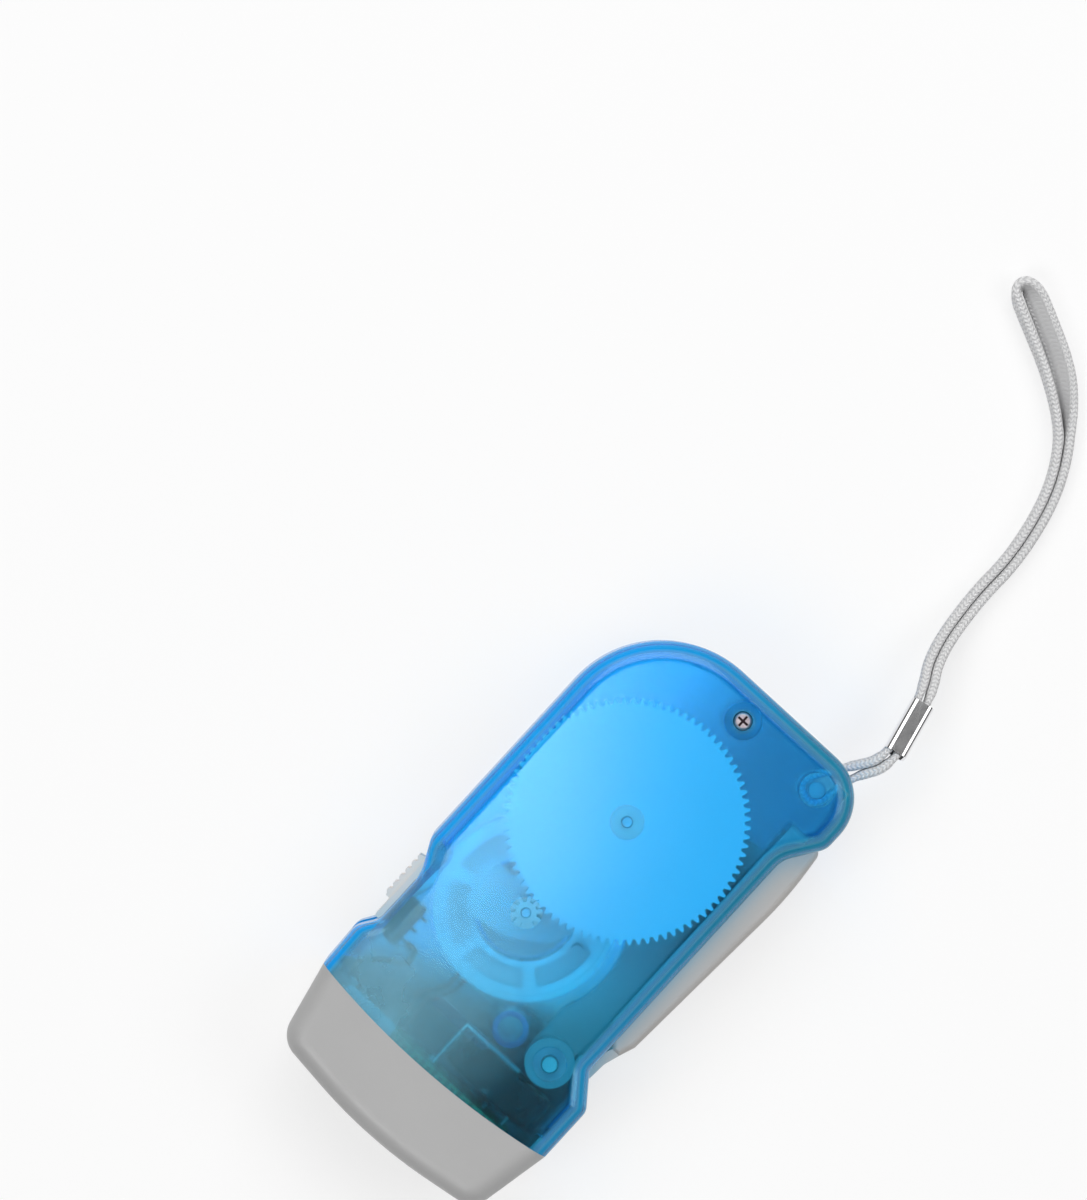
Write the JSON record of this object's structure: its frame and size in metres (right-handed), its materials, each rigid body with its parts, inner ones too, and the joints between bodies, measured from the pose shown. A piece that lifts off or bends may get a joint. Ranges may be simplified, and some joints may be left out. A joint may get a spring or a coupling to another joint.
{
  "type": "squeeze dynamo torch",
  "caption": "Flat hand torch with a squeeze lever that drives a gear train and generator, thumb slide, lamps behind a hood and a wrist strap.",
  "frame": {"origin": "on the flat back face, under the axle of the large gear", "axes": "+X along the beam towards the lamps, +Y towards the squeeze lever, +Z from the back face to the face with the screw"},
  "size_m": [0.189, 0.0528, 0.027],
  "materials": {
    "blue_shell": "polished, clear tinted plastic",
    "grey_plastic": "fine satin moulding",
    "clear_lens": "polished, clear",
    "reflector_metal": "vacuum metallised",
    "lamp_clear": "clear epoxy",
    "tinned_wire": "tinned",
    "board_green": "solder mask",
    "black_parts": "moulded, black",
    "cell_sleeve": "shrink sleeve, black",
    "wire_dark": "insulation, black",
    "wire_red": "insulation, red",
    "plated_steel": "zinc plated sheet",
    "white_nylon": "natural nylon",
    "bridge_plastic": "moulded, pale grey",
    "copper_winding": "enamelled copper wire",
    "bright_steel": "ground steel",
    "spring_steel": "drawn wire",
    "ferrite": "sintered ferrite",
    "strap_weave": "woven tape, grey and white",
    "ferrule_chrome": "polished"
  },
  "bodies": {
    "housing": {"front_shell": "blue_shell", "back_shell": "blue_shell", "lamp_hood": "grey_plastic", "front_lens": "clear_lens", "reflector": "reflector_metal", "lamp_leds": "lamp_clear", "led_leads": "tinned_wire", "led_board": "board_green", "rectifier_diodes": "black_parts", "storage_cells": "cell_sleeve", "cell_tabs": "tinned_wire", "switch_body": "tinned_wire", "lamp_wire": "wire_dark", "coil_leads": "wire_red", "stator_can": "plated_steel", "stator_top_plate": "plated_steel", "coil_bobbin": "white_nylon", "stator_coil": "copper_winding", "bearing_bridge": "bridge_plastic", "gear_axle": "bright_steel", "rotor_axle": "bright_steel", "lever_pivot_pin": "bright_steel", "housing_screw": "bright_steel", "gear_washer": "bright_steel", "return_spring": "spring_steel", "wrist_strap": "strap_weave", "strap_ferrule": "ferrule_chrome"},
    "lever": {"squeeze_lever": "grey_plastic"},
    "drive_wheel": {"drive_pinion": "white_nylon"},
    "gear_wheel": {"large_gear": "white_nylon", "ratchet_pawls": "white_nylon"},
    "rotor": {"rotor_hub": "white_nylon", "rotor_magnet": "ferrite"},
    "thumb_slide": {"switch_slider": "grey_plastic"}
  },
  "joints": [
    {"name": "rotor_spin", "type": "hinge", "parent": "housing", "child": "rotor", "pos_m": [0.02339, -0.00229, 0.0135], "axis": [0, 0, 1], "range_deg": [0, 1708]},
    {"name": "lever_swing", "type": "hinge", "parent": "housing", "child": "lever", "pos_m": [0.03994, 0.01846, 0.0135], "axis": [0, 0, -1], "range_deg": [0, 20], "deforming": ["return_spring"]},
    {"name": "drive_spin", "type": "hinge", "parent": "housing", "child": "drive_wheel", "pos_m": [0, 0, 0.0158], "axis": [0, 0, -1], "range_deg": [0, 203.34]},
    {"name": "gear_spin", "type": "hinge", "parent": "housing", "child": "gear_wheel", "pos_m": [0, 0, 0.0216], "axis": [0, 0, -1], "range_deg": [0, 203.34]},
    {"name": "switch_slide", "type": "slide", "parent": "housing", "child": "thumb_slide", "axis": [1, 0, 0], "range_m": [0, 0.0032]}
  ],
  "couplings": [
    {"joint": "lever_swing", "follows": "rotor_spin", "ratio": 0.01171},
    {"joint": "drive_spin", "follows": "rotor_spin", "ratio": 0.11905},
    {"joint": "gear_spin", "follows": "rotor_spin", "ratio": 0.11905}
  ]
}
